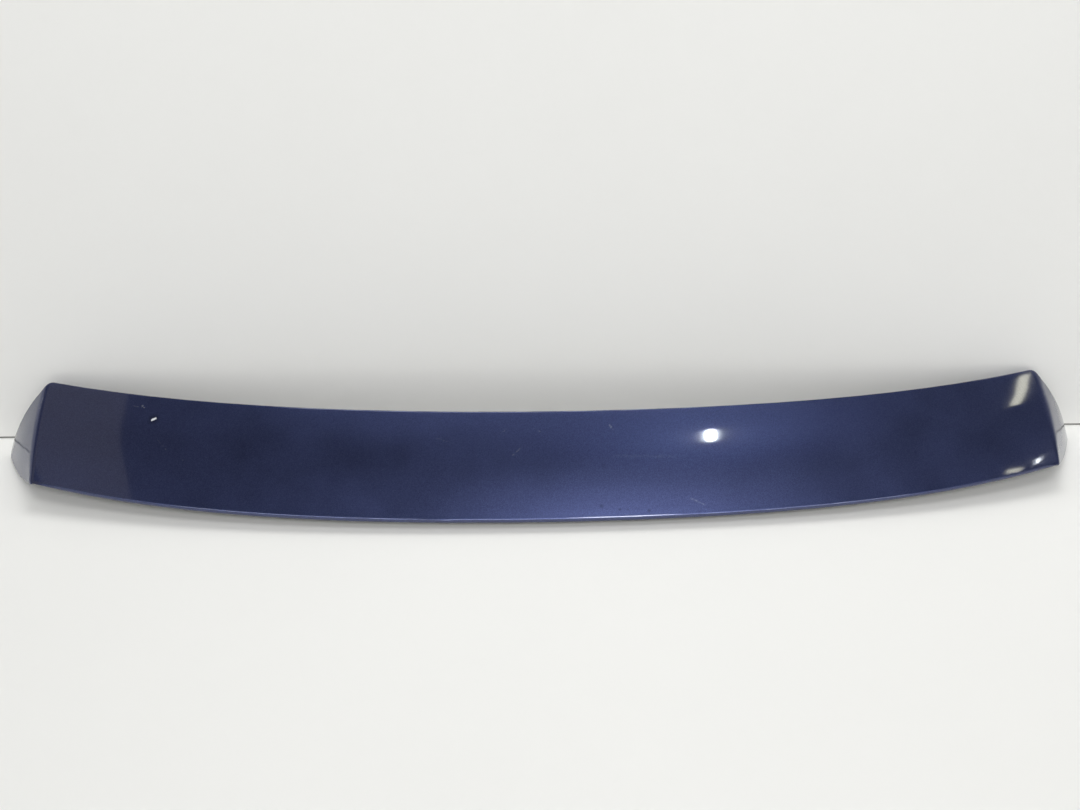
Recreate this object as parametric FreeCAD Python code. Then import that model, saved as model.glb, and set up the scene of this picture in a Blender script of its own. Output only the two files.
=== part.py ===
import FreeCAD, Part
import math
import os

# Rear roof spoiler for an estate or hatchback tailgate, in millimetres.
# X runs across the car, +Y towards the leading edge, +Z up, as it rests on its cheek tips and its heel.

# Deck, the wide upper face between the two ridges
LEAD_HALF = 548.0        # half width along the leading edge
TRAIL_HALF = 539.0       # half width along the trailing edge
CHORD_RUN = 117.4        # level distance between the two edges at mid-span
LEAD_HEIGHT = 68.5       # leading edge above the rest plane at mid-span
TRAIL_HEIGHT = 11.0      # trailing edge above the rest plane at mid-span
LEAD_SWEEP = 48.0        # how far the leading edge's ends lie ahead of its middle
TRAIL_SWEEP = 57.0       # how far the trailing edge's ends lie ahead of its middle
LEAD_LIFT = 15.4         # how far the leading edge's ends rise above its middle
TRAIL_LIFT = 16.0        # how far the trailing edge's ends rise above its middle
LEAD_BOW = 0.29          # share of the fourth power in the leading edge's bow
TRAIL_BOW = 0.37         # share of the fourth power in the trailing edge's bow
DECK_CAMBER = 6.0        # height of the deck's crown corner over its chord at mid-span
CROWN_SHARE = 0.28       # share of the chord on each side of the crown that its arc takes up

# Upper shell wall, leading flange and trailing lip
UPPER_WALL = 3.0
FLANGE_LENGTH = 12.0
FLANGE_LEAN = 10.0       # degrees that the leading flange leans back under the deck
FLANGE_ROUND = 3.0       # outer radius of the leading edge
LIP_LENGTH = 9.5         # trailing lip at mid-span
LIP_ANGLE = 70.0         # degrees between the trailing lip and the deck's chord
LIP_ROUND = 3.4          # outer radius of the trailing edge
RIDGE_LIP_LENGTH = 6.6   # trailing lip at the ridges, where it is slimmer
RIDGE_LIP_ROUND = 3.0

# Ridge, where the deck rolls over into a cheek
ROLL_OUT = 13.0          # outward reach of the roll at the leading edge
ROLL_DROP = 7.5          # fall of the roll at the leading edge
ROLL_BACK = 3.0          # how far the crease lies behind the deck's leading corner
TRAIL_ROLL_OUT = 6.0
TRAIL_ROLL_DROP = 4.5
TRAIL_ROLL_AHEAD = 5.0   # how far the crease lies ahead of the deck's trailing corner
ROLL_LEVEL = 6.5         # stretch that keeps the deck's direction before the roll bends down
TRAIL_ROLL_LEVEL = 3.0   # the same stretch at the trailing edge

# Cheek, from the crease down to the tip
TIP_OUT = 65.0           # tip outside the mean half width of the deck's two edges
TIP_SETBACK = 15.0       # leading corner of the tip behind the deck's leading corner
TIP_LEAD_HEIGHT = 9.5    # leading corner of the tip above the rest plane
TIP_CHORD_RUN = 18.0     # level length of the short tip edge
TIP_TRAIL_HEIGHT = 3.4   # trailing corner of the tip above the rest plane
TIP_TAPER_IN = 5.0       # trailing corner of the tip inside the leading one
CHEEK_BULGE = 8.0        # outward pull on the cheek's front edge
SKIRT_OUT = 25.0         # inward pull of the cheek's lower edge from its straight line to the tip
SKIRT_DROP = 8.5         # downward pull of the cheek's lower edge
CHEEK_TURN = 0.4         # share of the cheek's height over which its sections turn square to it
TIP_FLANGE_LENGTH = 5.0
TIP_LIP_LENGTH = 5.2
TIP_LIP_ANGLE = 90.0
TIP_ROUND = 3.0          # edge radius at the tip

# Gussets that brace each cheek against the deck
GUSSET_WALL = 2.2
GUSSET_PLACES = (0.35, 0.55, 0.75)   # shares of the chord from the trailing edge
GUSSET_DECK_REACH = 0.05             # share of the deck's half width that a gusset follows
GUSSET_CHEEK_REACH = 0.4             # share of the cheek's height that a gusset follows

# Lower shell, bonded inside the upper one
LOWER_WALL = 2.5
BOND_GAP = 0.3           # adhesive gap between the two shells
LOWER_HALF = 508.0       # half width of the lower shell, on the leading edge's scale
BOND_START = 2.0         # start of the bonding flange below the deck's inner corner
HEEL_AHEAD = 47.0        # heel from the trailing edge along the chord
HEEL_DEPTH = 35.5        # heel below the chord
HEEL_ROUND = 8.0
SEAM_ROUND = 2.5         # outer radius beside the two bonding flanges
LIP_STEP = 1.5           # lower shell's drop past the end of the trailing lip
BULKHEAD_WALL = 2.5
BULKHEAD_STEP = 0.6      # end walls' stop short of the bonding flanges' edges

# Pocket of the high-level brake lamp in the underside
LAMP_HALF = 172.0        # half width of the pocket, on the leading edge's scale
LAMP_REAR_LAND = 9.0     # underside left between the lip and the pocket
LAMP_HEEL_LAND = 11.0    # underside left between the pocket and the heel
LAMP_ROOF_GAP = 2.5      # room between the pocket's roof and the deck's inner face
LAMP_ROOF_FALL = 9.0     # pocket roof's drop from rear to front
LAMP_FRONT_DRAFT = 1.2   # front wall's lean from its mouth to its roof
LAMP_END_RIM = 1.0       # how far the pocket's end walls stand past its other walls
WIRE_HOLE_RADIUS = 4.0

# Studs, their bosses and seals on the mounting face
STUD_PLACES = (-430.0, -130.0, 130.0, 430.0)
STUD_RADIUS = 3.0
STUD_FREE_LENGTH = 18.0
STUD_ROOT_LENGTH = 9.0
STUD_FIT = 0.15          # radial room round the stud in its boss
STUD_ALONG = 0.52        # place on the mounting face, as a share from the heel
STUD_POINT = 1.0         # chamfer at the free end
COLLAR_FLATS = 10.0
COLLAR_HEIGHT = 3.0
BOSS_RADIUS = 8.5
BOSS_PROUD = 0.8         # least height of the ring's rim above the mounting face
BOSS_FLOOR = 2.0         # closed end of the boss beyond the stud
RING_OUTER = 12.0
RING_HEIGHT = 4.0
RING_FIT = 0.3           # room between ring, collar and boss

# Locating pins moulded on the mounting face
PIN_PLACES = (-290.0, 290.0)
PIN_RADIUS = 4.0
PIN_LENGTH = 11.0
PIN_POINT = 2.0

# Rubber strip under the leading flange, and foam pads in the cheeks
SEAL_HALF = 520.0        # half length of the strip, on the leading edge's scale
SEAL_HEIGHT = 5.0
SEAL_PROUD = 1.0         # how far the strip stands ahead of the flange
SEAL_BEAD = 0.45         # corner radius of the strip as a share of its width
SEAL_FIT = 0.3
PAD_THICKNESS = 5.0
PAD_FIT = 0.3
PAD_STATIONS = (0.5, 0.65, 0.8)      # shares of the cheek's height
PAD_FROM = 0.36                      # edges of the pad as shares of the local chord
PAD_TO = 0.72

# Numbers of sections that the surfaces are drawn through
DECK_SECTIONS = 5
ROLL_SECTIONS = 4
CHEEK_SECTIONS = 6
LOWER_SECTIONS = 5

# Numbers of short arcs that a rounded corner is drawn with
TIGHT_ARCS = 3           # at edges that turn by about a right angle
GENTLE_ARCS = 2          # at seams
CROWN_ARCS = 3

MID_CHORD = math.hypot(CHORD_RUN, LEAD_HEIGHT - TRAIL_HEIGHT)


def vec(x, y, z):
    return FreeCAD.Vector(x, y, z)


def unit(vector):
    return vector * (1.0 / vector.Length)


def bezier(start, pull, end, t):
    """Point on a curve that leaves start towards pull and arrives at end from pull."""
    return start * (1 - t) ** 2 + pull * (2 * t * (1 - t)) + end * t ** 2


def steps(first, last, count):
    return [first + (last - first) * i / (count - 1) for i in range(count)]


# Rails: the sharp trailing and leading corner lines that every section hangs on
def deck_rails(u):
    """Trailing and leading point of the deck at u, from -1 at one ridge to 1 at the other."""
    trail_bow = (1 - TRAIL_BOW) * u ** 2 + TRAIL_BOW * u ** 4
    lead_bow = (1 - LEAD_BOW) * u ** 2 + LEAD_BOW * u ** 4
    trail = vec(TRAIL_HALF * u, TRAIL_SWEEP * trail_bow, TRAIL_HEIGHT + TRAIL_LIFT * trail_bow)
    lead = vec(LEAD_HALF * u, CHORD_RUN + LEAD_SWEEP * lead_bow, LEAD_HEIGHT + LEAD_LIFT * lead_bow)
    return trail, lead


def roll_rails(v):
    """Points across the rounded ridge, from the deck at v = 0 to the crease at v = 1."""
    trail, lead = deck_rails(1.0)
    trail_inner, lead_inner = deck_rails(0.99)
    trail_pull = trail + unit(trail - trail_inner) * TRAIL_ROLL_LEVEL
    lead_pull = lead + unit(lead - lead_inner) * ROLL_LEVEL
    trail_end = trail + vec(TRAIL_ROLL_OUT, TRAIL_ROLL_AHEAD, -TRAIL_ROLL_DROP)
    lead_end = lead + vec(ROLL_OUT, -ROLL_BACK, -ROLL_DROP)
    return bezier(trail, trail_pull, trail_end, v), bezier(lead, lead_pull, lead_end, v)


def cheek_rails(s):
    """Points down the right cheek, from the crease at s = 0 to the tip at s = 1."""
    trail, lead = roll_rails(1.0)
    corner = deck_rails(1.0)[1]
    lead_tip = vec((LEAD_HALF + TRAIL_HALF) / 2 + TIP_OUT, corner.y - TIP_SETBACK, TIP_LEAD_HEIGHT)
    trail_tip = vec(lead_tip.x - TIP_TAPER_IN, lead_tip.y - TIP_CHORD_RUN, TIP_TRAIL_HEIGHT)
    lead_pull = (lead + lead_tip) * 0.5 + vec(CHEEK_BULGE, 0, CHEEK_BULGE / 2)
    across = trail_tip - trail
    trail_pull = trail + vec(across.x - SKIRT_OUT, across.y * 0.45, across.z - SKIRT_DROP / 2)
    return bezier(trail, trail_pull, trail_tip, s), bezier(lead, lead_pull, lead_tip, s)


def skin_normal(rails, place):
    """Outward direction of the skin midway between the two rails."""
    delta = 0.004
    trail, lead = rails(place)
    after = rails(place + delta)
    before = rails(place - delta)
    outward = after[0] + after[1] - before[0] - before[1]
    return unit(outward.cross(lead - trail))


def roll_section(v):
    return Section(roll_rails, v, turn=0.0)


def cheek_section(s):
    return Section(cheek_rails, s, taper=s, turn=min(s / CHEEK_TURN, 1.0))


class Section:
    """Plane across the spoiler: trailing corner, chord direction and outward normal.

    A turn under 1 keeps the plane closer to the one at the deck's end, so that flange and lip
    don't run into each other where the skin bends sharply.
    """

    def __init__(self, rails, place, taper=0.0, turn=1.0):
        self.spread = min(place ** 2, 1.0) if rails is deck_rails else 1.0
        self.trail, lead = rails(place)
        self.chord = (lead - self.trail).Length
        self.along = unit(lead - self.trail)
        normal = skin_normal(rails, place) * turn + skin_normal(deck_rails, 1.0) * (1 - turn)
        self.normal = unit(normal - self.along * normal.dot(self.along))
        self.taper = taper

    def at(self, p, q):
        """Point at p along the chord and q above it."""
        return self.trail + self.along * p + self.normal * q

    def blend(self, at_middle, at_ridge, at_tip):
        """Value that runs from mid-span to the ridge, and on down the cheek to its tip."""
        return at_middle + (at_ridge - at_middle) * self.spread + (at_tip - at_ridge) * self.taper


# Flat paths with rounded corners
def minus(a, b):
    return a[0] - b[0], a[1] - b[1]


def plus(a, b, scale=1.0):
    return a[0] + b[0] * scale, a[1] + b[1] * scale


def direction(a, b):
    step = minus(b, a)
    length = math.hypot(step[0], step[1])
    return step[0] / length, step[1] / length


def left_of(step):
    return -step[1], step[0]


def polar(degrees):
    return math.cos(math.radians(degrees)), math.sin(math.radians(degrees))


class Path:
    """Flat path of straight runs through (p, q) points, with a wall on its left.

    Each point has a radius and two numbers of short arcs, for the path's own corner and for the
    corner of the wall's other face. A corner with no arcs is sharp.
    """

    def __init__(self, points, radii, arcs, inner_arcs):
        self.points = points
        self.radii = radii
        self.arcs = arcs
        self.inner_arcs = inner_arcs

    def shifted(self, distance):
        """Path of the wall's face at that distance to the left."""
        points = self.points
        ways = [direction(a, b) for a, b in zip(points, points[1:])]
        new_points = [plus(points[0], left_of(ways[0]), distance)]
        new_radii = [0.0]
        for corner, radius, way_in, way_out in zip(points[1:], self.radii[1:], ways, ways[1:]):
            side_in = left_of(way_in)
            side_out = left_of(way_out)
            mitre = distance / (1 + side_in[0] * side_out[0] + side_in[1] * side_out[1])
            new_points.append(plus(corner, plus(side_in, side_out), mitre))
            turns_left = way_in[0] * way_out[1] - way_in[1] * way_out[0] > 0
            new_radii.append(radius - distance if turns_left else radius + distance)
        new_points.append(plus(points[-1], left_of(ways[-1]), distance))
        new_radii.append(0.0)
        return Path(new_points, new_radii, self.inner_arcs, self.arcs)

    def reversed(self):
        return Path(self.points[::-1], self.radii[::-1], self.arcs[::-1], self.inner_arcs[::-1])

    def closed(self):
        """The path with a last straight run back to its first point."""
        return Path(self.points + self.points[:1], self.radii + [0.0], self.arcs + [0], self.inner_arcs + [0])

    def edges(self, section):
        """Lines and rounded corners, laid in the section's plane."""
        edges = []
        start = self.points[0]
        for i in range(1, len(self.points)):
            corner = self.points[i]
            cubics = []
            if self.arcs[i]:
                ways = direction(self.points[i - 1], corner), direction(corner, self.points[i + 1])
                cubics = corner_cubics(corner, *ways, self.radii[i], self.arcs[i])
            line_end = cubics[0][0] if cubics else corner
            edges.append(Part.LineSegment(section.at(*start), section.at(*line_end)).toShape())
            for poles in cubics:
                arc = Part.BezierCurve()
                arc.setPoles([section.at(*pole) for pole in poles])
                edges.append(arc.toShape())
            start = cubics[-1][-1] if cubics else corner
        return edges


def corner_cubics(corner, way_in, way_out, radius, count):
    """Poles of the cubics that round a corner, each within a thousandth of the radius of a true arc."""
    turn = math.atan2(
        way_in[0] * way_out[1] - way_in[1] * way_out[0],
        way_in[0] * way_out[0] + way_in[1] * way_out[1],
    )
    step = turn / count
    pull = radius * math.tan(abs(step) / 4) * 4 / 3
    tangent = radius * math.tan(abs(step) / 2)
    place = plus(corner, way_in, -radius * math.tan(abs(turn) / 2))
    way = way_in
    cubics = []
    for _ in range(count):
        c = math.cos(step)
        s = math.sin(step)
        next_way = (way[0] * c - way[1] * s, way[0] * s + way[1] * c)
        end = plus(plus(place, way, tangent), next_way, tangent)
        cubics.append([place, plus(place, way, pull), plus(end, next_way, -pull), end])
        place = end
        way = next_way
    return cubics


def sharp_path(points):
    return Path(points, [0.0] * len(points), [0] * len(points), [0] * len(points))


def strip_wire(section, path, wall):
    """Closed wire of a wall that follows a path."""
    inner = path.shifted(wall)
    closing = Part.LineSegment(section.at(*path.points[-1]), section.at(*inner.points[-1])).toShape()
    opening = Part.LineSegment(section.at(*inner.points[0]), section.at(*path.points[0])).toShape()
    return Part.Wire(path.edges(section) + [closing] + inner.reversed().edges(section) + [opening])


def loft(wires):
    """Solid drawn smoothly through closed wires, with its faces turned outwards."""
    solid = Part.makeLoft(wires, True)
    if solid.Volume < 0:
        solid.reverse()
    return solid


def polygon_face(corners):
    return Part.Face(Part.makePolygon(corners + corners[:1]))


def mirrored(shape):
    return shape.mirror(vec(0, 0, 0), vec(1, 0, 0))


# Upper shell
def upper_path(section):
    """Outer path of the painted skin: flange end, leading edge, crown, trailing edge, lip end."""
    chord = section.chord
    lean = polar(-90 - FLANGE_LEAN)
    lip = polar(-section.blend(LIP_ANGLE, LIP_ANGLE, TIP_LIP_ANGLE))
    lead = (chord, 0.0)
    trail = (0.0, 0.0)
    crown_height = DECK_CAMBER * chord / MID_CHORD
    crown = (chord / 2, crown_height)
    crown_turn = 2 * math.atan2(crown_height, chord / 2)
    points = [
        plus(lead, lean, section.blend(FLANGE_LENGTH, FLANGE_LENGTH, TIP_FLANGE_LENGTH)),
        lead,
        crown,
        trail,
        plus(trail, lip, section.blend(LIP_LENGTH, RIDGE_LIP_LENGTH, TIP_LIP_LENGTH)),
    ]
    crown_radius = CROWN_SHARE * chord / math.tan(crown_turn / 2)
    radii = [
        0.0,
        section.blend(FLANGE_ROUND, FLANGE_ROUND, TIP_ROUND),
        crown_radius,
        section.blend(LIP_ROUND, RIDGE_LIP_ROUND, TIP_ROUND),
        0.0,
    ]
    arcs = [0, TIGHT_ARCS, CROWN_ARCS, TIGHT_ARCS, 0]
    inner_arcs = [0, 0, CROWN_ARCS, 0, 0]
    return Path(points, radii, arcs, inner_arcs)


def upper_wire(section):
    return strip_wire(section, upper_path(section), UPPER_WALL)


def skin_point(section, share):
    """Point in the middle of the upper shell's wall at a share of the chord."""
    crown = 2 * DECK_CAMBER * section.chord / MID_CHORD * min(share, 1 - share)
    return section.at(share * section.chord, 0.75 * crown - UPPER_WALL / 2)


def gusset(share):
    """Flat web inside the right ridge, square to the crease, with its outer edge in the skin."""
    sections = [Section(deck_rails, u) for u in steps(1 - GUSSET_DECK_REACH, 1, 3)]
    sections += [roll_section(v) for v in steps(0, 1, 3)[1:]]
    sections += [cheek_section(s) for s in steps(0, GUSSET_CHEEK_REACH, 4)[1:]]
    edge = [skin_point(section, share) for section in sections]
    deck = edge[0]
    ridge = edge[3]
    cheek = edge[-1]
    normal = unit((ridge - deck).cross(cheek - deck))
    face = polygon_face([point - normal * (point - deck).dot(normal) for point in edge])
    face.translate(normal * (-GUSSET_WALL / 2))
    return face.extrude(normal * GUSSET_WALL)


def make_upper_shell():
    deck_wires = [upper_wire(Section(deck_rails, u)) for u in steps(-1, 1, DECK_SECTIONS)]
    deck = loft(deck_wires)
    roll_places = steps(0, 1, ROLL_SECTIONS)[1:]
    roll_wires = [deck_wires[-1]] + [upper_wire(roll_section(v)) for v in roll_places]
    roll = loft(roll_wires)
    cheek_places = steps(0, 1, CHEEK_SECTIONS)[1:]
    cheek_wires = [roll_wires[-1]] + [upper_wire(cheek_section(s)) for s in cheek_places]
    cheek = loft(cheek_wires)
    end = [roll, cheek] + [gusset(share) for share in GUSSET_PLACES]
    shell = deck.fuse(end + [mirrored(piece) for piece in end])
    return shell.removeSplitter()


# Lower shell
def lower_corners(section):
    """Named corners of the lower shell's outer path."""
    bond_face = upper_path(section).shifted(UPPER_WALL + BOND_GAP)
    flange_end, lead, crown, trail, lip_end = bond_face.points
    lip = direction(trail, lip_end)
    flange = direction(lead, flange_end)
    return {
        "bond_start": plus(trail, lip, BOND_START),
        "seam": plus(lip_end, lip, LIP_STEP),
        "heel": (HEEL_AHEAD, -HEEL_DEPTH),
        "front_seam": flange_end,
        "bond_end": plus(lead, flange, BOND_START),
    }


def plain_path(section):
    corners = lower_corners(section)
    names = ("bond_start", "seam", "heel", "front_seam", "bond_end")
    radii = [0.0, SEAM_ROUND, HEEL_ROUND, SEAM_ROUND, 0.0]
    arcs = [0, GENTLE_ARCS, TIGHT_ARCS, TIGHT_ARCS, 0]
    inner_arcs = [0, 0, TIGHT_ARCS, 0, 0]
    return Path([corners[name] for name in names], radii, arcs, inner_arcs)


def lamp_corners(section):
    """Four corners of the lamp pocket: rear mouth, rear roof, front roof, front mouth."""
    corners = lower_corners(section)
    under = direction(corners["seam"], corners["heel"])
    rear_mouth = plus(corners["seam"], under, LAMP_REAR_LAND)
    front_mouth = plus(corners["heel"], under, -LAMP_HEEL_LAND)
    roof = -UPPER_WALL - LAMP_ROOF_GAP - LOWER_WALL
    rear_roof = (rear_mouth[0], roof)
    front_roof = (front_mouth[0] - LAMP_FRONT_DRAFT, roof - LAMP_ROOF_FALL)
    return [rear_mouth, rear_roof, front_roof, front_mouth]


def lamp_path(section):
    plain = plain_path(section)
    pocket = sharp_path(lamp_corners(section))
    return Path(
        plain.points[:2] + pocket.points + plain.points[2:],
        plain.radii[:2] + pocket.radii + plain.radii[2:],
        plain.arcs[:2] + pocket.arcs + plain.arcs[2:],
        plain.inner_arcs[:2] + pocket.arcs + plain.inner_arcs[2:],
    )


def lower_loft(path, first, last, count):
    wires = []
    for u in steps(first, last, count):
        section = Section(deck_rails, u)
        wires.append(strip_wire(section, path(section), LOWER_WALL))
    return loft(wires)


def slab(outline, u, inner_u):
    """Wall between two sections of the same outline."""
    wires = []
    for place in (u, inner_u):
        section = Section(deck_rails, place)
        wires.append(Part.Wire(outline(section).closed().edges(section)))
    return loft(wires)


def lamp_end_outline(section):
    """End of the lamp pocket, from the middle of the underside's wall to a rim round its walls."""
    path = lamp_path(section)
    rim = path.shifted(LOWER_WALL + LAMP_END_RIM).points
    mid_wall = path.shifted(LOWER_WALL / 2).points
    return sharp_path([mid_wall[2]] + rim[2:6] + [mid_wall[5]])


def bulkhead_outline(section):
    """End wall of the lower shell, out to the middle of its other walls."""
    path = plain_path(section).shifted(LOWER_WALL / 2)
    points = path.points
    points[0] = plus(points[0], direction(points[0], points[1]), BULKHEAD_STEP)
    points[-1] = plus(points[-1], direction(points[-1], points[-2]), BULKHEAD_STEP)
    return path


def mounting_axis():
    """Outward direction of the mounting face at mid-span, shared by all studs and pins."""
    section = Section(deck_rails, 0.0)
    corners = lower_corners(section)
    way = direction(corners["heel"], corners["front_seam"])
    return unit(section.along * way[1] - section.normal * way[0])


def mounting_section(x):
    """Heel and front seam of the section whose mounting point lies at a distance x from the middle."""
    u = x / LEAD_HALF
    for _ in range(4):
        section = Section(deck_rails, u)
        corners = lower_corners(section)
        heel = section.at(*corners["heel"])
        front = section.at(*corners["front_seam"])
        u += (x - (heel + (front - heel) * STUD_ALONG).x) / LEAD_HALF
    return heel, front


def mounting_point(x):
    heel, front = mounting_section(x)
    return heel + (front - heel) * STUD_ALONG


def mounting_slope(x):
    """Rise of the mounting face across the shared axis, for each millimetre sideways."""
    heel, front = mounting_section(x)
    along = mounting_point(x + 1) - mounting_point(x - 1)
    normal = unit(along.cross(front - heel))
    return math.tan(math.acos(min(abs(normal.dot(mounting_axis())), 1.0)))


def boss(x):
    axis = mounting_axis()
    depth = STUD_ROOT_LENGTH + BOSS_FLOOR
    return Part.makeCylinder(BOSS_RADIUS, depth, stud_seat(x) - axis * depth, axis)


def boss_height(x):
    """Height of the boss's seat, at which the whole ring clears the sloping mounting face."""
    return BOSS_PROUD + RING_OUTER * mounting_slope(x)


def stud_seat(x):
    """Point on the stud's axis where its collar sits on the boss."""
    return mounting_point(x) + mounting_axis() * boss_height(x)


def stud_bore(x):
    axis = mounting_axis()
    start = stud_seat(x) - axis * STUD_ROOT_LENGTH
    return Part.makeCylinder(STUD_RADIUS + STUD_FIT, STUD_ROOT_LENGTH + boss_height(x), start, axis)


def locating_pin(x):
    axis = mounting_axis()
    root = mounting_point(x) - axis * LOWER_WALL
    shank = PIN_LENGTH - PIN_POINT + LOWER_WALL
    pin = Part.makeCylinder(PIN_RADIUS, shank, root, axis)
    point = Part.makeCone(PIN_RADIUS, PIN_RADIUS - PIN_POINT, PIN_POINT, root + axis * shank, axis)
    return pin.fuse(point)


def wire_hole():
    """Passage for the lamp's wires, straight ahead from the pocket through the mounting face."""
    section = Section(deck_rails, 0.0)
    rear_mouth, rear_roof, front_roof, front_mouth = lamp_corners(section)
    middle = ((front_roof[0] + rear_roof[0]) / 2, (front_roof[1] + front_mouth[1]) / 2)
    start = section.at(*middle)
    return Part.makeCylinder(WIRE_HOLE_RADIUS, CHORD_RUN / 2, start, vec(0, 1, 0))


def make_lower_shell():
    end = LOWER_HALF / LEAD_HALF
    lamp = LAMP_HALF / LEAD_HALF
    middle = lower_loft(lamp_path, -lamp, lamp, LOWER_SECTIONS)
    side = lower_loft(plain_path, lamp, end, LOWER_SECTIONS)
    lamp_end = slab(lamp_end_outline, lamp + LOWER_WALL / LEAD_HALF, lamp)
    bulkhead = slab(bulkhead_outline, end, end - BULKHEAD_WALL / LEAD_HALF)
    right = [side, lamp_end, bulkhead]
    moulded = [boss(x) for x in STUD_PLACES] + [locating_pin(x) for x in PIN_PLACES]
    shell = middle.fuse(right + [mirrored(piece) for piece in right] + moulded)
    shell = shell.cut([stud_bore(x) for x in STUD_PLACES] + [wire_hole()])
    return shell.removeSplitter()


# Studs and seals
def stud(x):
    axis = mounting_axis()
    seat = stud_seat(x)
    root = Part.makeCylinder(STUD_RADIUS, STUD_ROOT_LENGTH, seat - axis * STUD_ROOT_LENGTH, axis)
    shank_length = STUD_FREE_LENGTH - STUD_POINT
    shank = Part.makeCylinder(STUD_RADIUS, shank_length, seat, axis)
    point = Part.makeCone(STUD_RADIUS, STUD_RADIUS - STUD_POINT, STUD_POINT, seat + axis * shank_length, axis)
    across = vec(1, 0, 0)
    beside = axis.cross(across)
    corner_radius = COLLAR_FLATS / math.sqrt(3)
    corners = []
    for i in range(6):
        c, s = polar(60 * i)
        corners.append(seat + (across * c + beside * s) * corner_radius)
    collar = polygon_face(corners).extrude(axis * COLLAR_HEIGHT)
    return root.fuse([shank, point, collar]).removeSplitter()


def seal_ring(x):
    """Foam ring that stands on the boss round the stud's collar."""
    axis = mounting_axis()
    foot = stud_seat(x) + axis * RING_FIT
    hole = COLLAR_FLATS / math.sqrt(3) + RING_FIT
    ring = Part.makeCylinder(RING_OUTER, RING_HEIGHT, foot, axis)
    return ring.cut(Part.makeCylinder(hole, RING_HEIGHT, foot, axis))


def seal_wire(section):
    """Rounded strip section under the end of the leading flange."""
    path = upper_path(section)
    points = path.points
    inner = path.shifted(UPPER_WALL).points
    flange = direction(points[1], points[0])
    inward = direction(points[0], inner[0])
    front = plus(plus(points[0], flange, SEAL_FIT), inward, -SEAL_PROUD)
    rear = plus(inner[0], flange, SEAL_FIT)
    front_low = plus(front, flange, SEAL_HEIGHT)
    rear_low = plus(rear, flange, SEAL_HEIGHT)
    round_off = SEAL_BEAD * (UPPER_WALL + SEAL_PROUD)
    radii = [0.0, 0.0, round_off, round_off]
    arcs = [0, 0, GENTLE_ARCS, GENTLE_ARCS]
    strip = Path([rear, front, front_low, rear_low], radii, arcs, arcs)
    return Part.Wire(strip.closed().edges(section))


def make_leading_edge_seal():
    end = SEAL_HALF / LEAD_HALF
    wires = [seal_wire(Section(deck_rails, u)) for u in steps(-end, end, DECK_SECTIONS)]
    return loft(wires)


def pad_wire(section):
    crown = DECK_CAMBER * section.chord / MID_CHORD
    near = crown / 2 - UPPER_WALL - PAD_FIT
    far = near - PAD_THICKNESS
    first = PAD_FROM * section.chord
    last = PAD_TO * section.chord
    corners = [(first, near), (last, near), (last, far), (first, far)]
    points = [section.at(*corner) for corner in corners]
    return Part.makePolygon(points + points[:1])


def make_cheek_pads():
    pad = loft([pad_wire(cheek_section(s)) for s in PAD_STATIONS])
    return Part.makeCompound([pad, mirrored(pad)])


def make_parts():
    parts = {
        "upper_shell": make_upper_shell(),
        "lower_shell": make_lower_shell(),
        "mounting_studs": Part.makeCompound([stud(x) for x in STUD_PLACES]),
        "stud_seal_rings": Part.makeCompound([seal_ring(x) for x in STUD_PLACES]),
        "leading_edge_seal": make_leading_edge_seal(),
        "cheek_pads": make_cheek_pads(),
    }
    box = Part.makeCompound(list(parts.values())).optimalBoundingBox(False)
    to_origin = vec(0, -(box.YMin + box.YMax) / 2, -box.ZMin)
    print("moved to origin by", to_origin)
    for shape in parts.values():
        shape.translate(to_origin)
    return parts


def main():
    os.makedirs("parts", exist_ok=True)
    for name, shape in make_parts().items():
        box = shape.optimalBoundingBox(False)
        print(name, shape.isValid(), len(shape.Solids), "volume", round(shape.Volume), "mm3",
              "z", round(box.ZMin, 2), round(box.ZMax, 2), "y", round(box.YMin, 2), round(box.YMax, 2),
              "x", round(box.XMin, 2), round(box.XMax, 2))
        shape.exportStep("parts/" + name + ".step")


main()
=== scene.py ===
import math

import bmesh
import bpy
import numpy as np
from bpy.props import FloatProperty, FloatVectorProperty, PointerProperty
from mathutils import Matrix, Vector


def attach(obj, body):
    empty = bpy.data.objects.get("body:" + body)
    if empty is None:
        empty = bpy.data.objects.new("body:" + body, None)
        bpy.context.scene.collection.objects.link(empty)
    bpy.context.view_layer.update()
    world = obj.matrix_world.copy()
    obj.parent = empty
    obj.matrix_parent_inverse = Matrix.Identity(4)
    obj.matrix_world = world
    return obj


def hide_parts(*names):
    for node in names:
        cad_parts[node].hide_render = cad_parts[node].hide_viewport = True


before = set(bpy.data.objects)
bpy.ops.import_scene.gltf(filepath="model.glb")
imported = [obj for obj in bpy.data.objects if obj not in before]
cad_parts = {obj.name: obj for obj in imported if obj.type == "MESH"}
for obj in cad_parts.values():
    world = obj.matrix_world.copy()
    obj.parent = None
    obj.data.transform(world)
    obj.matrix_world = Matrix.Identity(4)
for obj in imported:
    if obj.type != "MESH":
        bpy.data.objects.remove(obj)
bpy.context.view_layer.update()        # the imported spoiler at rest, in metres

bl_info = {
    "name": "Rear spoiler finish",
    "version": (1, 0, 0),
    "blender": (4, 5, 0),
    "location": "View3D > Sidebar > Spoiler",
    "description": "Dresses a rear roof spoiler in metallic paint, moulded plastic, zinc, foam and rubber",
    "category": "Object",
}

IMAGE_WIDTH = 1080              # pixels of the frame that the camera is set for
SENSOR_WIDTH = 36.0             # millimetres
CLIP_START = 0.01               # metres, nearest that the camera sees
MERGE_DISTANCE = 2e-6           # metres between corners that are one corner of the solid
CREASE = math.radians(30)       # least turn of an edge that stays sharp

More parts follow.
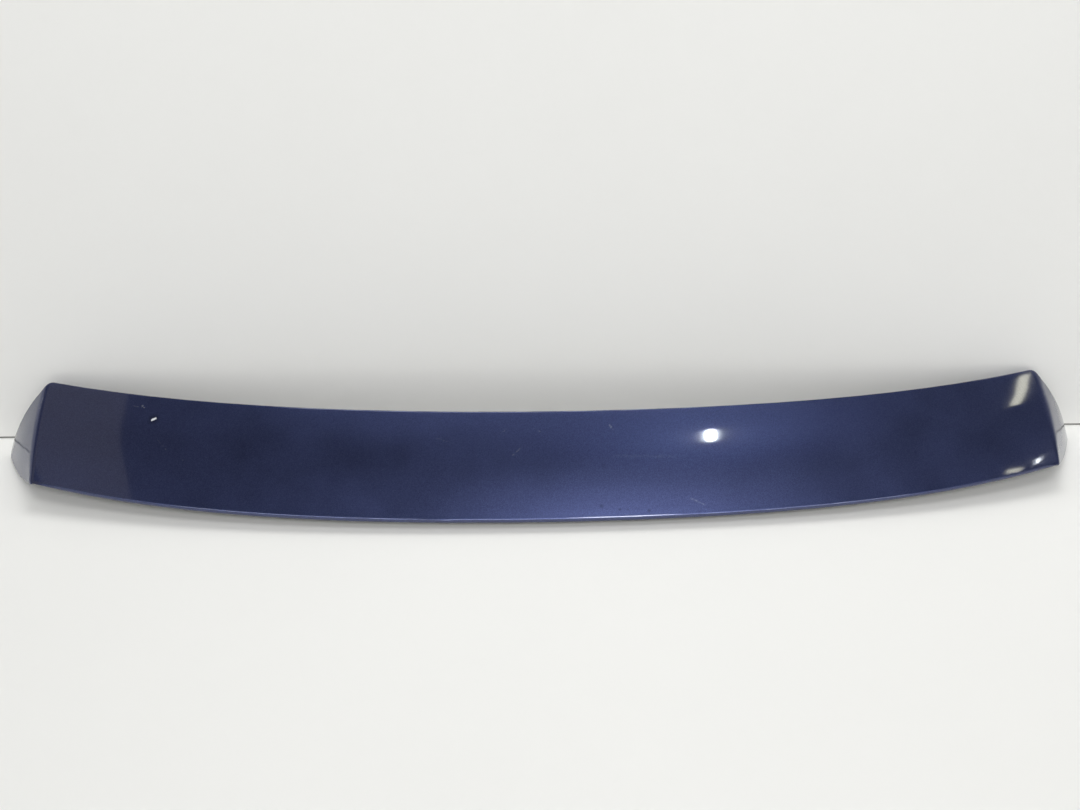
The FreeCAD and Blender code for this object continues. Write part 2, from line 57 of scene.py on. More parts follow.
# Deck of the upper shell, which shades as one fitted surface
DECK_SPAN = 0.6                 # metres, half width that it is fitted over
DECK_DEPTH = 0.1                # metres, depth that it is fitted over
SPAN_POWERS = (0, 2, 4, 6)
DEPTH_POWERS = (0, 1, 2, 3, 4)
DECK_UPRIGHT = 0.75             # least upward part of a slope on the deck
DECK_FACE = 2e-5                # square metres, least size of a facet of the deck
DECK_CLOSE = (0.002, 0.0008, 0.0004)    # metres from the surface, closer with each fit
DECK_TURN = math.radians(4)     # most between a facet of the deck and the fitted surface
ROUND_TURN = math.radians(40)   # most between it and a facet of the roundings beside the deck

# Ridges, where the deck's slope eases into the cheek's, and the cheeks
RIDGE_REACH = 0.016             # metres over which it eases
RIDGE_EASE = 1.5                # how late it does so
RIDGE_PLACE = 0.5               # metres from the middle, less than to either ridge
RIDGE_ENDS = ((1.0, 0.3, 0.0), (1.0, -0.3, 0.0))    # ways in which its two ends lie furthest out
CHEEK_OUTWARD = (1.0, -0.5, 0.6)        # way that the outside of a cheek faces
CHEEK_LEAST = 0.6               # least part of a facet's slope that way
CHEEK_SIDEWAYS = 0.4            # least sideways part of the slope of a facet that is cut
CHEEK_UPWARD = 0.3              # least upward part of it
CHEEK_STEP = 0.004              # metres, longest edge of a cheek facet
CHEEK_ROUNDS = 4                # times that longer ones are halved

# Wear of the painted shell, in metres. Scratches: start, end, width, share of bare primer
SCRATCHES = (
    ((-0.4314, 0.0276), (-0.4255, 0.0309), 0.0017, 1.00),
    ((-0.4566, 0.0465), (-0.4433, 0.0441), 0.0007, 0.16),
    ((-0.4456, 0.0468), (-0.4410, 0.0431), 0.0009, 0.45),
    ((-0.4211, 0.0077), (-0.4068, -0.0065), 0.0007, 0.08),
    ((-0.3894, -0.0160), (-0.3874, -0.0170), 0.0009, 0.10),
    ((-0.0273, 0.0096), (-0.0190, 0.0047), 0.0010, 0.10),
    ((-0.0503, -0.0218), (-0.0396, -0.0122), 0.0011, 0.08),
    ((0.0544, 0.0130), (0.0580, 0.0057), 0.0014, 0.14),
    ((-0.1298, -0.0002), (-0.1129, -0.0062), 0.0009, 0.06),
    ((-0.0625, 0.0031), (-0.0539, 0.0101), 0.0010, 0.06),
    ((0.0500, -0.0236), (0.1278, -0.0253), 0.0022, 0.025),
    ((0.1307, -0.0660), (0.1463, -0.0726), 0.0010, 0.10),
)
UNBROKEN = 0.5                  # share of bare primer from which a scratch has no gaps
SCRATCH_CORE = 0.7              # share of a scratch's length at full strength
MARK_CORE = 0.3                 # share of a mark's width at full strength
# Dark marks: place, radius, strength
SPECKS = (
    ((-0.4285, 0.0292, 0.0653), 0.0075, 0.45),
    ((0.0393, -0.0721, 0.0190), 0.0026, 0.35),
    ((0.0578, -0.0756, 0.0169), 0.0018, 0.40),
    ((0.0660, -0.0757, 0.0168), 0.0016, 0.35),
    ((0.0872, -0.0771, 0.0158), 0.0022, 0.40),
    ((0.0449, -0.0340, 0.0407), 0.0045, 0.12),
)
PAINT_METALLIC = 0.85
HAZE_ROUGHNESS = 0.03           # either way from the roughness of the flake layer
FLAKE_EDGE = (0.5, 0.5, 0.5)    # how much the flakes mirror at a glancing angle
COAT_IOR = 1.5

# Mounting studs: an inner and an outer pair on one slanted axis, in metres
STUD_AXIS = (0.0, 0.685658, -0.727923)
STUD_PLACES = (0.130, 0.430)    # either way from the middle
STUD_FEET = (-0.00695, 0.00615)     # along the axis, where the free thread of each begins
THREAD_DEPTH = 0.0004

# Stage, in metres
STAGE_REACH = 4.0               # table and wall beyond the part
WALL_FOOT = 0.12                # height of the part of the wall that the paint mirrors
WALL_TOP = 0.60
GAP_HEIGHT = 0.0022             # height of the dark sheet of painted shade in the gap between table and wall
GAP_AHEAD = 0.0006              # in front of the wall
# Room light: heights of a direction between which it fades, and its strength at each
ROOM_LIGHT = (0.56, 0.77, 0.82, 0.010)
# Lamps: place, aim (straight down where there is none), spin in degrees, width, height, power, colour,
# and the finishes that they light
GLOSS, MATTE = "gloss", "matte"
WHITE = (1.0, 1.0, 0.98)
WARM = (1.0, 0.93, 0.88)
YELLOW = (1.0, 0.98, 0.80)
BLUISH = (0.90, 0.95, 1.0)
LAMPS = {
    "front_softbox": ((0.40, -1.05, 1.95), (0.05, -0.05, 0.0), 0.0, 0.36, 0.50, 18.0, WHITE, GLOSS),
    "front_strip": ((0.10, -1.60, 1.60), (0.10, 0.0, 0.0), 0.0, 3.60, 0.25, 26.0, BLUISH, GLOSS),
    "back_softbox": ((-0.05, 1.25, 2.00), (0.0, 0.0, 0.0), 0.0, 1.60, 0.60, 13.0, BLUISH, GLOSS),
    "ceiling_lamp": ((0.731, 0.358, 2.20), None, 0.0, 0.028, 0.190, 4.4, BLUISH, GLOSS),
    "left_card": ((-1.422, 0.086, 1.50), None, -10.3, 0.41, 2.40, 1.08, WARM, GLOSS),
    "right_tube": ((1.55, 0.354, 1.50), None, 0.0, 0.040, 0.220, 0.28, YELLOW, GLOSS),
    "right_window": ((1.737, -0.352, 1.48), None, 0.0, 0.090, 0.018, 0.06, YELLOW, GLOSS),
    "right_lamp": ((1.86, -0.315, 1.48), None, 0.0, 0.026, 0.030, 0.10, BLUISH, GLOSS),
    "back_fill": ((0.20, 1.10, 2.00), (0.0, -0.1, 0.0), 0.0, 1.20, 0.80, 16.0, WHITE, MATTE),
    "overhead_fill": ((0.10, -0.50, 2.20), None, 0.0, 1.40, 0.80, 12.0, WHITE, MATTE),
    "front_fill": ((0.15, -2.20, 2.20), (0.0, 0.09, 0.2), 0.0, 1.80, 1.00, 39.0, WHITE, MATTE),
}
RANGE_SOCKETS = ("From Min", "From Max", "To Min", "To Max")


# Settings
class PaintSettings(bpy.types.PropertyGroup):
    """Metallic paint of the upper shell."""

    base: FloatVectorProperty(
        name="Base", description="Colour of the metallic base coat", subtype="COLOR",
        default=(0.036, 0.045, 0.114), min=0, max=1)
    flake: FloatVectorProperty(
        name="Flake", description="Colour of the brighter flakes", subtype="COLOR",
        default=(0.058, 0.072, 0.168), min=0, max=1)
    bare: FloatVectorProperty(
        name="Bare", description="Primer showing in chips and scratches", subtype="COLOR",
        default=(0.62, 0.64, 0.68), min=0, max=1)
    grit: FloatVectorProperty(
        name="Grit", description="Dark specks and chip rims", subtype="COLOR",
        default=(0.008, 0.008, 0.012), min=0, max=1)
    flake_size: FloatProperty(
        name="Flake size", description="Width of one flake cell", unit="LENGTH", default=0.0006)
    base_roughness: FloatProperty(
        name="Base roughness", description="Roughness of the flake layer", default=0.38, min=0, max=1)
    coat_roughness: FloatProperty(
        name="Coat roughness", description="Roughness of the clear coat", default=0.05, min=0, max=1)


class TrimSettings(bpy.types.PropertyGroup):
    """Moulded plastic, zinc, foam and rubber."""

    plastic: FloatVectorProperty(
        name="Plastic", description="Colour of the lower shell", subtype="COLOR",
        default=(0.022, 0.022, 0.024), min=0, max=1)
    grain_size: FloatProperty(
        name="Grain size", description="Width of one bump of the moulded grain", unit="LENGTH",
        default=0.0011)
    zinc: FloatVectorProperty(
        name="Zinc", description="Colour of the plated studs", subtype="COLOR",
        default=(0.60, 0.57, 0.50), min=0, max=1)
    thread_pitch: FloatProperty(
        name="Thread pitch", description="Rise of one turn of the studs' thread", unit="LENGTH",
        default=0.001)
    foam: FloatVectorProperty(
        name="Foam", description="Colour of rings and pads", subtype="COLOR",
        default=(0.045, 0.045, 0.047), min=0, max=1)
    rubber: FloatVectorProperty(
        name="Rubber", description="Colour of the leading edge seal", subtype="COLOR",
        default=(0.018, 0.018, 0.018), min=0, max=1)


class StageSettings(bpy.types.PropertyGroup):
    """Table, wall and camera."""

    surface: FloatVectorProperty(
        name="Surface", description="Colour of table, wall and room", subtype="COLOR",
        default=(0.80, 0.80, 0.79), min=0, max=1)
    # Painted shade: colour of the dark sheet that stands in for the shade in the gap between table and wall
    gap: FloatVectorProperty(
        name="Gap", description="Colour of the gap between table and wall", subtype="COLOR",
        default=(0.22, 0.22, 0.21), min=0, max=1)
    wall_left: FloatVectorProperty(
        name="Wall left", description="Point at the foot of the wall, on the left", unit="LENGTH",
        default=(-0.6393, 0.0935, 0.0))
    wall_right: FloatVectorProperty(
        name="Wall right", description="Point at the foot of the wall, on the right", unit="LENGTH",
        default=(0.6436, 0.0857, 0.0))
    camera_place: FloatVectorProperty(
        name="Camera", description="Place of the camera", unit="LENGTH",
        default=(-0.0608, -0.7177, 0.5621))
    camera_turn: FloatVectorProperty(
        name="Camera turn", description="Heading, tilt below level and roll of the camera",
        unit="ROTATION", default=(math.radians(3.195), math.radians(33.0), math.radians(0.915)))
    focal_pixels: FloatProperty(
        name="Focal length", description="Focal length in pixels of the frame", default=830.0)


# Shader helpers
class Finish:
    """Material under construction: adds nodes and joins them to its principled shader."""

    def __init__(self, name):
        self.material = bpy.data.materials.new(name)
        self.material.use_nodes = True
        self.tree = self.material.node_tree
        self.shader = self.tree.nodes["Principled BSDF"]
        self.place = self.node("ShaderNodeTexCoord").outputs["Object"]

    def node(self, kind, **values):
        """New node with these values set."""
        made = self.tree.nodes.new(kind)
        for name, value in values.items():
            setattr(made, name, value)
        return made

    def join(self, source, target):
        """Link from an output to an input."""
        self.tree.links.new(source, target)

    def feed(self, name, source):
        """Link from an output to one of the shader's own sockets."""
        self.join(source, self.shader.inputs[name])

    def set(self, **values):
        """Constant values on the shader's own sockets, with _ for a space."""
        for name, value in values.items():
            socket = self.shader.inputs[name.replace("_", " ").title().replace("Ior", "IOR")]
            socket.default_value = (*value, 1.0) if hasattr(value, "__len__") else value

    def noise(self, size, detail):
        """Noise between 0 and 1 whose features are about size metres wide."""
        made = self.node("ShaderNodeTexNoise")
        made.inputs["Scale"].default_value = 1.0 / size
        made.inputs["Detail"].default_value = detail
        self.join(self.place, made.inputs["Vector"])
        return made.outputs["Fac"]

    def cells(self, size, feature="F1"):
        """Cells about size metres wide."""
        made = self.node("ShaderNodeTexVoronoi", feature=feature)
        made.inputs["Scale"].default_value = 1.0 / size
        self.join(self.place, made.inputs["Vector"])
        return made

    def ramp(self, value, low, high, to_low=0.0, to_high=1.0):
        """Value mapped from low..high to to_low..to_high, held at both ends."""
        made = self.node("ShaderNodeMapRange", clamp=True)
        for name, number in zip(RANGE_SOCKETS, (low, high, to_low, to_high)):
            made.inputs[name].default_value = number
        self.join(value, made.inputs["Value"])
        return made.outputs["Result"]

    def math(self, kind, first, second=0.0):
        """Sum on two values, each a number or a socket."""
        made = self.node("ShaderNodeMath", operation=kind)
        for socket, value in zip(made.inputs, (first, second)):
            if isinstance(value, (int, float)):
                socket.default_value = value
            else:
                self.join(value, socket)
        return made.outputs["Value"]

    def blend(self, share, first, second):
        """Colour between first and second, each a colour or a socket."""
        made = self.node("ShaderNodeMix", data_type="RGBA")
        self.join(share, made.inputs["Factor"])
        for name, value in (("A", first), ("B", second)):
            socket = next(s for s in made.inputs if s.name == name and s.type == "RGBA")
            if hasattr(value, "__len__"):
                socket.default_value = (*value, 1.0)
            else:
                self.join(value, socket)
        return next(s for s in made.outputs if s.type == "RGBA")

    def axes(self, vector):
        """Outputs X, Y and Z of a vector socket."""
        split = self.node("ShaderNodeSeparateXYZ")
        self.join(vector, split.inputs["Vector"])
        return split.outputs

    def wobble(self, size, reach):
        """Object coordinates shaken by noise, for ragged outlines."""
        grain = self.node("ShaderNodeTexNoise")
        grain.inputs["Scale"].default_value = 1.0 / size
        self.join(self.place, grain.inputs["Vector"])
        shake = self.node("ShaderNodeVectorMath", operation="MULTIPLY_ADD")
        self.join(grain.outputs["Color"], shake.inputs[0])
        shake.inputs[1].default_value = (2.0 * reach,) * 3
        shake.inputs[2].default_value = (-reach,) * 3
        moved = self.node("ShaderNodeVectorMath", operation="ADD")
        self.join(self.place, moved.inputs[0])
        self.join(shake.outputs["Vector"], moved.inputs[1])
        return moved.outputs["Vector"]

    def spot(self, centre, radius, place):
        """1 inside a ball around centre, falling to 0 at its rim."""
        reach = self.node("ShaderNodeVectorMath", operation="DISTANCE")
        self.join(place, reach.inputs[0])
        reach.inputs[1].default_value = centre
        return self.ramp(reach.outputs["Value"], MARK_CORE * radius, radius, to_low=1.0, to_high=0.0)

    def scratch(self, start, end, width, place):
        """1 along a thin line on the surface from start to end."""
        start, end = Vector(start), Vector(end)
        middle = (start + end) / 2
        turn = math.atan2(end.y - start.y, end.x - start.x)
        half = (end - start).length / 2
        laid = self.node("ShaderNodeMapping", vector_type="TEXTURE")
        laid.inputs["Location"].default_value = (middle.x, middle.y, 0.0)
        laid.inputs["Rotation"].default_value = (0.0, 0.0, turn)
        self.join(place, laid.inputs["Vector"])
        axes = self.axes(laid.outputs["Vector"])
        across = self.math("ABSOLUTE", axes["Y"])
        along = self.math("ABSOLUTE", axes["X"])
        return self.math(
            "MULTIPLY",
            self.ramp(across, MARK_CORE * width, width, to_low=1.0, to_high=0.0),
            self.ramp(along, SCRATCH_CORE * half, half, to_low=1.0, to_high=0.0))

    def see_through_back(self):
        """Leave the back of a sheet unseen, so that the part shows from every side."""
        mixed = self.node("ShaderNodeMixShader")
        self.join(self.node("ShaderNodeNewGeometry").outputs["Backfacing"], mixed.inputs["Fac"])
        self.join(self.shader.outputs["BSDF"], mixed.inputs[1])
        self.join(self.node("ShaderNodeBsdfTransparent").outputs["BSDF"], mixed.inputs[2])
        self.join(mixed.outputs["Shader"], self.tree.nodes["Material Output"].inputs["Surface"])

    def bump(self, height, strength, distance, target="Normal"):
        """Bump of a height socket on the shader's Normal or Coat Normal."""
        made = self.node("ShaderNodeBump")
        made.inputs["Strength"].default_value = strength
        made.inputs["Distance"].default_value = distance
        self.join(height, made.inputs["Height"])
        self.feed(target, made.outputs["Normal"])


# Finishes
def shade_of(colour, share):
    """Colour made darker, or paler where share is above 1."""
    return tuple(part * share for part in colour)


def paint_wear(finish):
    """Shares of bare primer and of dark grit over the paint."""
    ragged = finish.wobble(size=0.003, reach=0.0009)
    patchy = finish.ramp(finish.noise(size=0.0022, detail=2.0), low=0.40, high=0.62)
    bare = grit = None
    for first, last, width, depth in SCRATCHES:
        mark = finish.math("MULTIPLY", finish.scratch(first, last, width, ragged), depth)
        if depth < UNBROKEN:
            mark = finish.math("MULTIPLY", mark, patchy)
        bare = finish.math("MAXIMUM", bare, mark) if bare else mark
    for place, radius, strength in SPECKS:
        mark = finish.math("MULTIPLY", finish.spot(place, radius, ragged), strength)
        grit = finish.math("MAXIMUM", grit, mark) if grit else mark
    return bare, grit


def paint_finish(paint):
    """Metallic flakes under a clear coat, with scratches, chips and specks."""
    finish = Finish("navy_metallic_paint")
    flakes = finish.cells(paint.flake_size)
    glint = finish.ramp(flakes.outputs["Color"], low=0.25, high=1.0)
    colour = finish.blend(glint, tuple(paint.base), tuple(paint.flake))
    bare, grit = paint_wear(finish)
    colour = finish.blend(grit, colour, tuple(paint.grit))
    colour = finish.blend(bare, colour, tuple(paint.bare))
    finish.feed("Base Color", colour)
    haze = finish.ramp(finish.noise(size=0.05, detail=4.0), low=0.35, high=0.7)
    finish.feed("Roughness", finish.ramp(
        haze, 0.0, 1.0,
        to_low=paint.base_roughness - HAZE_ROUGHNESS, to_high=paint.base_roughness + HAZE_ROUGHNESS))
    finish.feed("Metallic", finish.ramp(bare, 0.0, 1.0, to_low=PAINT_METALLIC, to_high=0.0))
    finish.bump(finish.noise(paint.flake_size, detail=0.0), strength=0.07, distance=paint.flake_size)
    finish.bump(finish.noise(size=0.006, detail=1.0), strength=0.012, distance=0.0004,
                target="Coat Normal")
    finish.set(coat_weight=1.0, coat_roughness=paint.coat_roughness, coat_ior=COAT_IOR,
               specular_tint=FLAKE_EDGE)
    return finish.material


def plastic_finish(trim):
    """Black moulded plastic with a fine grain."""
    finish = Finish("grained_black_plastic")
    shade = finish.ramp(finish.noise(size=0.03, detail=4.0), low=0.3, high=0.7)
    finish.feed("Base Color", finish.blend(shade, shade_of(trim.plastic, 0.75), tuple(trim.plastic)))
    finish.feed("Roughness", finish.ramp(shade, 0.0, 1.0, to_low=0.52, to_high=0.62))
    grain = finish.cells(trim.grain_size, feature="SMOOTH_F1")
    finish.bump(grain.outputs["Distance"], strength=0.35, distance=0.0002)
    finish.set(specular_ior_level=0.4)
    return finish.material


def stud_thread(finish, trim):
    """Height of the thread along the studs' axis, flat below its start."""
    reach = finish.node("ShaderNodeVectorMath", operation="DOT_PRODUCT")
    finish.join(finish.place, reach.inputs[0])
    reach.inputs[1].default_value = STUD_AXIS
    side = finish.math("ABSOLUTE", finish.axes(finish.place)["X"])
    foot = finish.ramp(side, *STUD_PLACES, *STUD_FEET)
    past = finish.math("SUBTRACT", reach.outputs["Value"], foot)
    turns = finish.math("MULTIPLY", past, 2 * math.pi / trim.thread_pitch)
    return finish.math("MULTIPLY", finish.math("SINE", turns), finish.math("GREATER_THAN", past))


def zinc_finish(trim):
    """Zinc plating, stained and threaded."""
    finish = Finish("zinc_plating")
    stain = finish.ramp(finish.noise(size=0.004, detail=3.0), low=0.35, high=0.7)
    finish.feed("Base Color", finish.blend(stain, shade_of(trim.zinc, 0.72), tuple(trim.zinc)))
    finish.feed("Roughness", finish.ramp(stain, 0.0, 1.0, to_low=0.42, to_high=0.28))
    finish.bump(stud_thread(finish, trim), strength=0.8, distance=THREAD_DEPTH)
    finish.set(metallic=1.0)
    return finish.material


def foam_finish(trim):
    """Closed-cell foam with small pores."""
    finish = Finish("closed_cell_foam")
    cells = finish.cells(size=0.0007)
    pore = finish.ramp(cells.outputs["Distance"], low=0.0, high=0.6)
    finish.feed("Base Color", finish.blend(pore, tuple(trim.foam), shade_of(trim.foam, 0.5)))
    finish.bump(cells.outputs["Distance"], strength=0.5, distance=0.0003)
    finish.set(roughness=0.92, specular_ior_level=0.2)
    return finish.material


def rubber_finish(trim):
    """Black rubber with a pale bloom."""
    finish = Finish("seal_rubber")
    bloom = finish.ramp(finish.noise(size=0.012, detail=5.0), low=0.4, high=0.75)
    finish.feed("Base Color", finish.blend(bloom, tuple(trim.rubber), shade_of(trim.rubber, 2.2)))
    finish.bump(finish.noise(size=0.0008, detail=1.0), strength=0.15, distance=0.0002)
    finish.set(roughness=0.7, specular_ior_level=0.3)
    return finish.material


def surface_finish(stage):
    """Pale, slightly uneven table and wall."""
    finish = Finish("pale_table_and_wall")
    shade = finish.ramp(finish.noise(size=0.35, detail=3.0), low=0.3, high=0.7)
    finish.feed("Base Color", finish.blend(shade, shade_of(stage.surface, 0.985), tuple(stage.surface)))
    finish.set(roughness=0.6, specular_ior_level=0.25)
    finish.see_through_back()
    return finish.material


def gap_shade_finish(stage):
    """Dark sheet of painted shade, standing in for the shade in the gap between table and wall."""
    finish = Finish("painted_gap_shade")
    finish.set(base_color=tuple(stage.gap), roughness=0.9)
    finish.see_through_back()
    return finish.material


# Pieces
def deck_terms(points):
    """Even powers along the width times powers of depth, with their slopes in x and y."""
    x, y = points[:, 0] / DECK_SPAN, points[:, 1] / DECK_DEPTH
    rows, along, across = [], [], []
    for i in SPAN_POWERS:
        for j in DEPTH_POWERS:
            rows.append(x ** i * y ** j)
            along.append((i * x ** max(i - 1, 0) * y ** j) / DECK_SPAN)
            across.append((j * x ** i * y ** max(j - 1, 0)) / DECK_DEPTH)
    return np.array(rows).T, np.array(along).T, np.array(across).T


def unit(vectors):
    """Rows scaled to a length of 1."""
    return vectors / np.linalg.norm(vectors, axis=1, keepdims=True)


def eased_ridge(side, points, facing, deck, fitted, slopes):
    """Corner slopes, with those on the ridge of one side eased from the deck's to the cheek's."""
    ends = points[deck] * (side, 1.0, 1.0)
    front, back = (points[deck][np.argmax(ends @ way)] for way in RIDGE_ENDS)
    ridge = (front - back) / np.linalg.norm(front - back)
    away = np.linalg.norm(np.cross(points - back, ridge), axis=1)
    top = fitted[deck][np.argmax(ends[:, 0])]
    outward = np.array(CHEEK_OUTWARD) * (side, 1.0, 1.0)
    outside = (facing * outward).sum(1) > CHEEK_LEAST
    turned = outside & ~deck & (points[:, 0] * side > RIDGE_PLACE) & (away < RIDGE_REACH)
    share = np.clip(away / RIDGE_REACH, 0.0, 1.0)[:, None] ** RIDGE_EASE
    return np.where(turned[:, None], unit(top * (1.0 - share) + slopes * share), slopes)


def even_slopes(mesh, slopes):
    """Corner slopes, with those on the deck taken from one smooth surface fitted through it."""
    holders = np.array([corner.vertex_index for corner in mesh.loops])
    points = np.array([vertex.co[:] for vertex in mesh.vertices])[holders]
    facing = np.zeros((len(points), 3))
    wide = np.zeros(len(points), dtype=bool)
    for face in mesh.polygons:
        facing[list(face.loop_indices)] = face.normal
        wide[list(face.loop_indices)] = face.area > DECK_FACE and face.normal.z > DECK_UPRIGHT
    rows, along, across = deck_terms(points)
    deck = wide
    for close in DECK_CLOSE:
        shape = np.linalg.lstsq(rows[deck], points[deck, 2], rcond=None)[0]
        deck = wide & (np.abs(rows @ shape - points[:, 2]) < close)
    fitted = unit(np.stack((-along @ shape, -across @ shape, np.ones(len(points))), axis=1))
    likeness = (fitted * facing).sum(1)
    deck &= likeness > math.cos(DECK_TURN)
    shared = np.isin(holders, holders[deck]) & (likeness > math.cos(ROUND_TURN))
    slopes = np.where(shared[:, None], fitted, slopes)
    for side in (-1.0, 1.0):
        slopes = eased_ridge(side, points, facing, deck, fitted, slopes)
    return slopes


def split_cheeks(work):
    """Cut the outer cheek facets small, so that the ridge beside the deck shades as one round."""
    for _ in range(CHEEK_ROUNDS):
        cheek = [face for face in work.faces
                 if abs(face.normal.x) > CHEEK_SIDEWAYS and face.normal.z > CHEEK_UPWARD]
        long = dict.fromkeys(
            edge for face in cheek for edge in face.edges if edge.calc_length() > CHEEK_STEP)
        bmesh.ops.subdivide_edges(work, edges=list(long), cuts=1)
        bmesh.ops.triangulate(work, faces=[face for face in work.faces if len(face.verts) > 3])


def smooth_copy(node, name):
    """Copy of a CAD node with its corners merged and its curved faces shaded as one surface."""
    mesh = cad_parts[node].data.copy()
    mesh.name = name
    slopes = [corner.vector.copy() for corner in mesh.corner_normals]
    work = bmesh.new()
    work.from_mesh(mesh)
    kept = work.loops.layers.float_vector.new("slope")
    corners = [corner for face in work.faces for corner in face.loops]
    for corner, slope in zip(corners, slopes):
        corner[kept] = slope
    bmesh.ops.remove_doubles(work, verts=work.verts, dist=MERGE_DISTANCE)
    if node == "upper_shell":
        split_cheeks(work)
    for face in work.faces:
        face.smooth = True
    for edge in work.edges:
        edge.smooth = edge.calc_face_angle(0.0) < CREASE
    mesh.materials.clear()
    work.to_mesh(mesh)
    work.free()
    slopes = [value.vector[:] for value in mesh.attributes["slope"].data]
    mesh.normals_split_custom_set(even_slopes(mesh, slopes) if node == "upper_shell" else slopes)
    mesh.attributes.remove(mesh.attributes["slope"])
    piece = bpy.data.objects.new(name, mesh)
    bpy.context.scene.collection.objects.link(piece)
    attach(piece, "root")
    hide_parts(node)
    return piece


def dress(node, name, material):
    """Piece that takes the place of a CAD node, in its finish."""
    piece = smooth_copy(node, name)
    piece.data.materials.append(material)


class SPOILER_OT_upper_shell(bpy.types.Operator):
    """Paint the upper shell in metallic navy under clear coat"""

    bl_idname = "spoiler.upper_shell"
    bl_label = "Painted upper shell"

    def execute(self, context):
        paint = paint_finish(context.scene.spoiler_paint)
        dress("upper_shell", "painted_shell", paint)
        return {"FINISHED"}


class SPOILER_OT_lower_shell(bpy.types.Operator):
    """Give the lower shell its grained black plastic"""

    bl_idname = "spoiler.lower_shell"
    bl_label = "Plastic lower shell"

    def execute(self, context):
        plastic = plastic_finish(context.scene.spoiler_trim)
        dress("lower_shell", "plastic_shell", plastic)
        return {"FINISHED"}


class SPOILER_OT_studs(bpy.types.Operator):
    """Plate the mounting studs with zinc"""

    bl_idname = "spoiler.studs"
    bl_label = "Zinc-plated studs"

    def execute(self, context):
        zinc = zinc_finish(context.scene.spoiler_trim)
        dress("mounting_studs", "zinc_studs", zinc)
        return {"FINISHED"}


class SPOILER_OT_foam(bpy.types.Operator):
    """Give the stud rings and cheek pads their foam"""

    bl_idname = "spoiler.foam"
    bl_label = "Foam rings and pads"

    def execute(self, context):
        foam = foam_finish(context.scene.spoiler_trim)
        dress("stud_seal_rings", "foam_rings", foam)
        dress("cheek_pads", "foam_pads", foam)
        return {"FINISHED"}


class SPOILER_OT_edge_seal(bpy.types.Operator):
    """Give the leading edge seal its rubber"""

    bl_idname = "spoiler.edge_seal"
    bl_label = "Rubber edge seal"

    def execute(self, context):
        rubber = rubber_finish(context.scene.spoiler_trim)
        dress("leading_edge_seal", "rubber_seal", rubber)
        return {"FINISHED"}


# Stage
def flat_sheet(name, corners, material):
    """Plane through four corners."""
    mesh = bpy.data.meshes.new(name)
    work = bmesh.new()
    work.faces.new([work.verts.new(corner) for corner in corners])
    work.to_mesh(mesh)
    work.free()
    sheet = bpy.data.objects.new(name, mesh)
    sheet.data.materials.append(material)
    bpy.context.scene.collection.objects.link(sheet)
    return sheet


def soft_light(name, place, aim, spin, width, height, power, colour, lights):
    """Area lamp that lights either glossy or matte finishes."""
    lamp = bpy.data.lights.new(name, "AREA")
    lamp.shape = "ELLIPSE" if name.endswith("lamp") else "RECTANGLE"
    lamp.size = width
    lamp.size_y = height
    lamp.energy = power
    lamp.color = colour
    holder = bpy.data.objects.new(name, lamp)
    holder.visible_diffuse = lights == MATTE
    holder.visible_glossy = lights == GLOSS
    holder.location = place
    holder.rotation_euler.z = math.radians(spin)
    if aim:
        holder.rotation_euler = (Vector(aim) - Vector(place)).to_track_quat("-Z", "Y").to_euler()
    bpy.context.scene.collection.objects.link(holder)


def studio_world(context, stage):
    """Room that is pale all round and dim overhead, alike for every ray."""
    world = bpy.data.worlds.new("studio")
    world.use_nodes = True
    tree = world.node_tree
    background = tree.nodes["Background"]
    background.inputs["Color"].default_value = (*stage.surface, 1.0)
    split = tree.nodes.new("ShaderNodeSeparateXYZ")
    way = tree.nodes.new("ShaderNodeTexCoord").outputs["Generated"]
    tree.links.new(way, split.inputs["Vector"])
    strength = tree.nodes.new("ShaderNodeMapRange")
    strength.interpolation_type = "SMOOTHSTEP"
    for name, value in zip(RANGE_SOCKETS, ROOM_LIGHT):
        strength.inputs[name].default_value = value
    tree.links.new(split.outputs["Z"], strength.inputs["Value"])
    tree.links.new(strength.outputs["Result"], background.inputs["Strength"])
    context.scene.world = world


def place_camera(context, stage):
    """Camera at the photograph's place, heading, tilt and roll."""
    heading, tilt, roll = stage.camera_turn
    level = Vector((math.cos(heading), -math.sin(heading), 0.0))
    ahead = Vector((math.sin(heading) * math.cos(tilt), math.cos(heading) * math.cos(tilt), -math.sin(tilt)))
    upright = level.cross(ahead)
    right = level * math.cos(roll) + upright * math.sin(roll)
    up = upright * math.cos(roll) - level * math.sin(roll)
    turn = Matrix((right, up, -ahead)).transposed()
    data = bpy.data.cameras.new("camera")
    data.sensor_width = SENSOR_WIDTH
    data.lens = SENSOR_WIDTH * stage.focal_pixels / IMAGE_WIDTH
    data.clip_start = CLIP_START
    camera = bpy.data.objects.new("camera", data)
    camera.matrix_world = Matrix.Translation(stage.camera_place) @ turn.to_4x4()
    context.scene.collection.objects.link(camera)
    context.scene.camera = camera


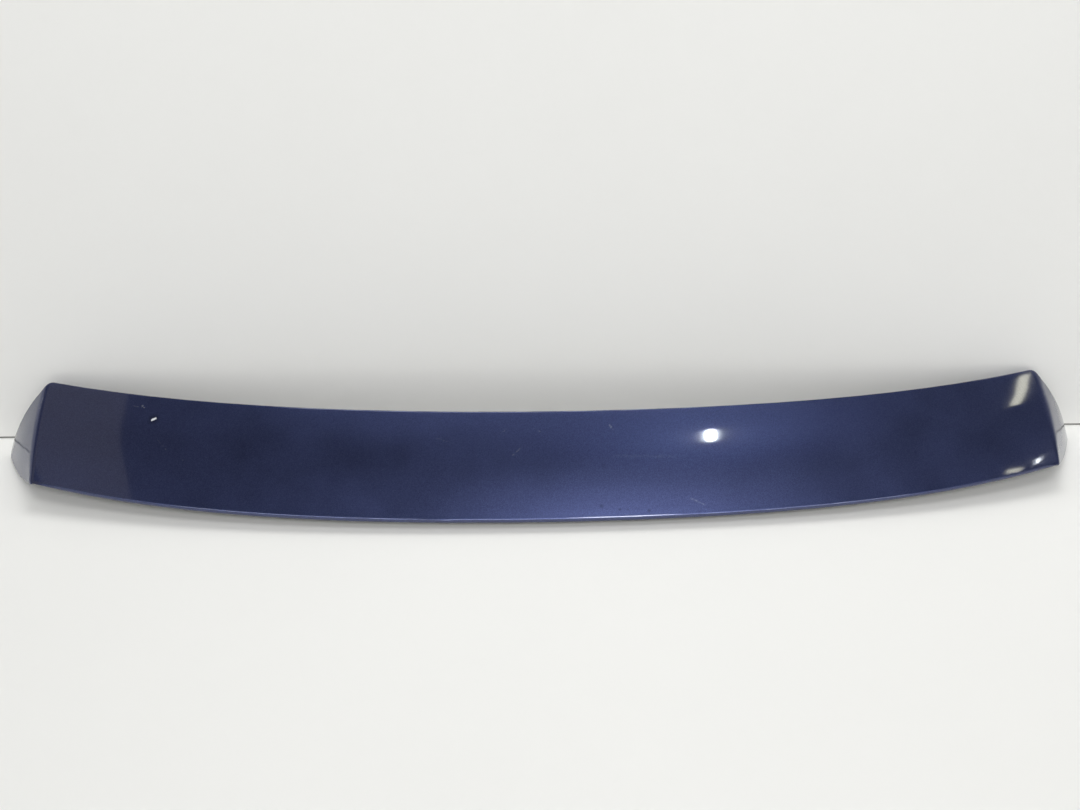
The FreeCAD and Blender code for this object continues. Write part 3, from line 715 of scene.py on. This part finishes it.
class SPOILER_OT_stage(bpy.types.Operator):
    """Set up table, wall, studio light and camera"""

    bl_idname = "spoiler.stage"
    bl_label = "Stage and camera"

    def execute(self, context):
        stage = context.scene.spoiler_stage
        surface = surface_finish(stage)
        left, right = Vector(stage.wall_left), Vector(stage.wall_right)
        along = (right - left).normalized() * STAGE_REACH
        start, end = left - along, right + along
        front, back = Vector((0, -STAGE_REACH, 0)), Vector((0, STAGE_REACH, 0))
        flat_sheet("table", [start + front, end + front, end + back, start + back], surface)
        near = Vector((0, -GAP_AHEAD, 0))
        above = Vector((0, -GAP_AHEAD, GAP_HEIGHT))
        # Painted shade: a dark sheet just in front of the wall's foot stands in for the shade in the gap
        flat_sheet("painted_gap_shade_sheet", [start + near, end + near, end + above, start + above], gap_shade_finish(stage))
        low, high = Vector((0, 0, WALL_FOOT)), Vector((0, 0, WALL_TOP))
        foot = flat_sheet("wall_foot", [start, end, end + low, start + low], surface)
        wall = flat_sheet("wall", [start + low, end + low, end + high, start + high], surface)
        wall.visible_glossy = False
        for sheet in (foot, wall):
            sheet.visible_shadow = False
        for name, values in LAMPS.items():
            soft_light(name, *values)
        studio_world(context, stage)
        place_camera(context, stage)
        context.scene.view_settings.view_transform = "Standard"
        return {"FINISHED"}


class SPOILER_PT_panel(bpy.types.Panel):
    """Lists the spoiler's pieces and settings"""

    bl_idname = "SPOILER_PT_panel"
    bl_label = "Rear spoiler"
    bl_space_type = "VIEW_3D"
    bl_region_type = "UI"
    bl_category = "Spoiler"

    def draw(self, context):
        for operator in OPERATORS:
            self.layout.operator(operator.bl_idname)
        for settings in SETTINGS:
            box = self.layout.box()
            group = getattr(context.scene, settings)
            for name in group.__annotations__:
                box.prop(group, name)


SETTINGS = {
    "spoiler_paint": PaintSettings,
    "spoiler_trim": TrimSettings,
    "spoiler_stage": StageSettings,
}
OPERATORS = (
    SPOILER_OT_upper_shell,
    SPOILER_OT_lower_shell,
    SPOILER_OT_studs,
    SPOILER_OT_foam,
    SPOILER_OT_edge_seal,
    SPOILER_OT_stage,
)
CLASSES = (*SETTINGS.values(), *OPERATORS, SPOILER_PT_panel)


def register():
    """Make the classes and the scene's settings known to Blender."""
    for item in CLASSES:
        bpy.utils.register_class(item)
    for name, group in SETTINGS.items():
        setattr(bpy.types.Scene, name, PointerProperty(type=group))


def unregister():
    """Take the settings and classes out again."""
    for name in SETTINGS:
        delattr(bpy.types.Scene, name)
    for item in reversed(CLASSES):
        bpy.utils.unregister_class(item)


def main():
    """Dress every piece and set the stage."""
    register()
    bpy.ops.spoiler.upper_shell()
    bpy.ops.spoiler.lower_shell()
    bpy.ops.spoiler.studs()
    bpy.ops.spoiler.foam()
    bpy.ops.spoiler.edge_seal()
    bpy.ops.spoiler.stage()


if __name__ == "__main__":
    main()
